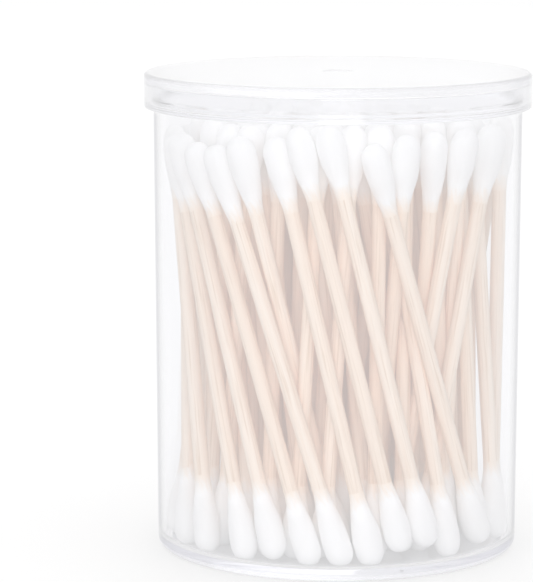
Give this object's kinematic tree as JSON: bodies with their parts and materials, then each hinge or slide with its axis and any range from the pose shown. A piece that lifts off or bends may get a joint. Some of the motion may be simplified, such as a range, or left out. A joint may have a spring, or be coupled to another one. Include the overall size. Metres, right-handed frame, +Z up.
{
  "type": "cotton swab tub",
  "caption": "Round clear plastic tub with a push-on clear lid, filled with wooden-stick cotton swabs that stand in a twisted bundle.",
  "frame": {"origin": "centre of the tub's base, on the surface that it stands on", "axes": "+Z up, along the tub's own axis; X and Y lie in the surface, and the camera side is -Y"},
  "size_m": [0.067, 0.067, 0.083],
  "materials": {
    "clear_plastic": "clear, glossy",
    "wood": "bare, fine-grained",
    "cotton": "wound cotton, soft matte"
  },
  "bodies": {
    "tub": {"tub": "clear_plastic", "swab_01_stick": "wood", "swab_01_cotton": "cotton", "swab_02_stick": "wood", "swab_02_cotton": "cotton", "swab_03_stick": "wood", "swab_03_cotton": "cotton", "swab_04_stick": "wood", "swab_04_cotton": "cotton", "swab_05_stick": "wood", "swab_05_cotton": "cotton", "swab_06_stick": "wood", "swab_06_cotton": "cotton", "swab_07_stick": "wood", "swab_07_cotton": "cotton", "swab_08_stick": "wood", "swab_08_cotton": "cotton", "swab_09_stick": "wood", "swab_09_cotton": "cotton", "swab_10_stick": "wood", "swab_10_cotton": "cotton", "swab_11_stick": "wood", "swab_11_cotton": "cotton", "swab_12_stick": "wood", "swab_12_cotton": "cotton", "swab_13_stick": "wood", "swab_13_cotton": "cotton", "swab_14_stick": "wood", "swab_14_cotton": "cotton", "swab_15_stick": "wood", "swab_15_cotton": "cotton", "swab_16_stick": "wood", "swab_16_cotton": "cotton", "swab_17_stick": "wood", "swab_17_cotton": "cotton", "swab_18_stick": "wood", "swab_18_cotton": "cotton", "swab_19_stick": "wood", "swab_19_cotton": "cotton", "swab_20_stick": "wood", "swab_20_cotton": "cotton", "swab_21_stick": "wood", "swab_21_cotton": "cotton", "swab_22_stick": "wood", "swab_22_cotton": "cotton", "swab_23_stick": "wood", "swab_23_cotton": "cotton", "swab_24_stick": "wood", "swab_24_cotton": "cotton", "swab_25_stick": "wood", "swab_25_cotton": "cotton", "swab_26_stick": "wood", "swab_26_cotton": "cotton", "swab_27_stick": "wood", "swab_27_cotton": "cotton", "swab_28_stick": "wood", "swab_28_cotton": "cotton", "core_swabs_sticks": "wood", "core_swabs_cotton": "cotton"},
    "lid": {"lid": "clear_plastic"}
  },
  "joints": [
    {"name": "lid_lift", "type": "slide", "parent": "tub", "child": "lid", "axis": [0, 0, 1], "range_m": [0, 0.08]}
  ]
}
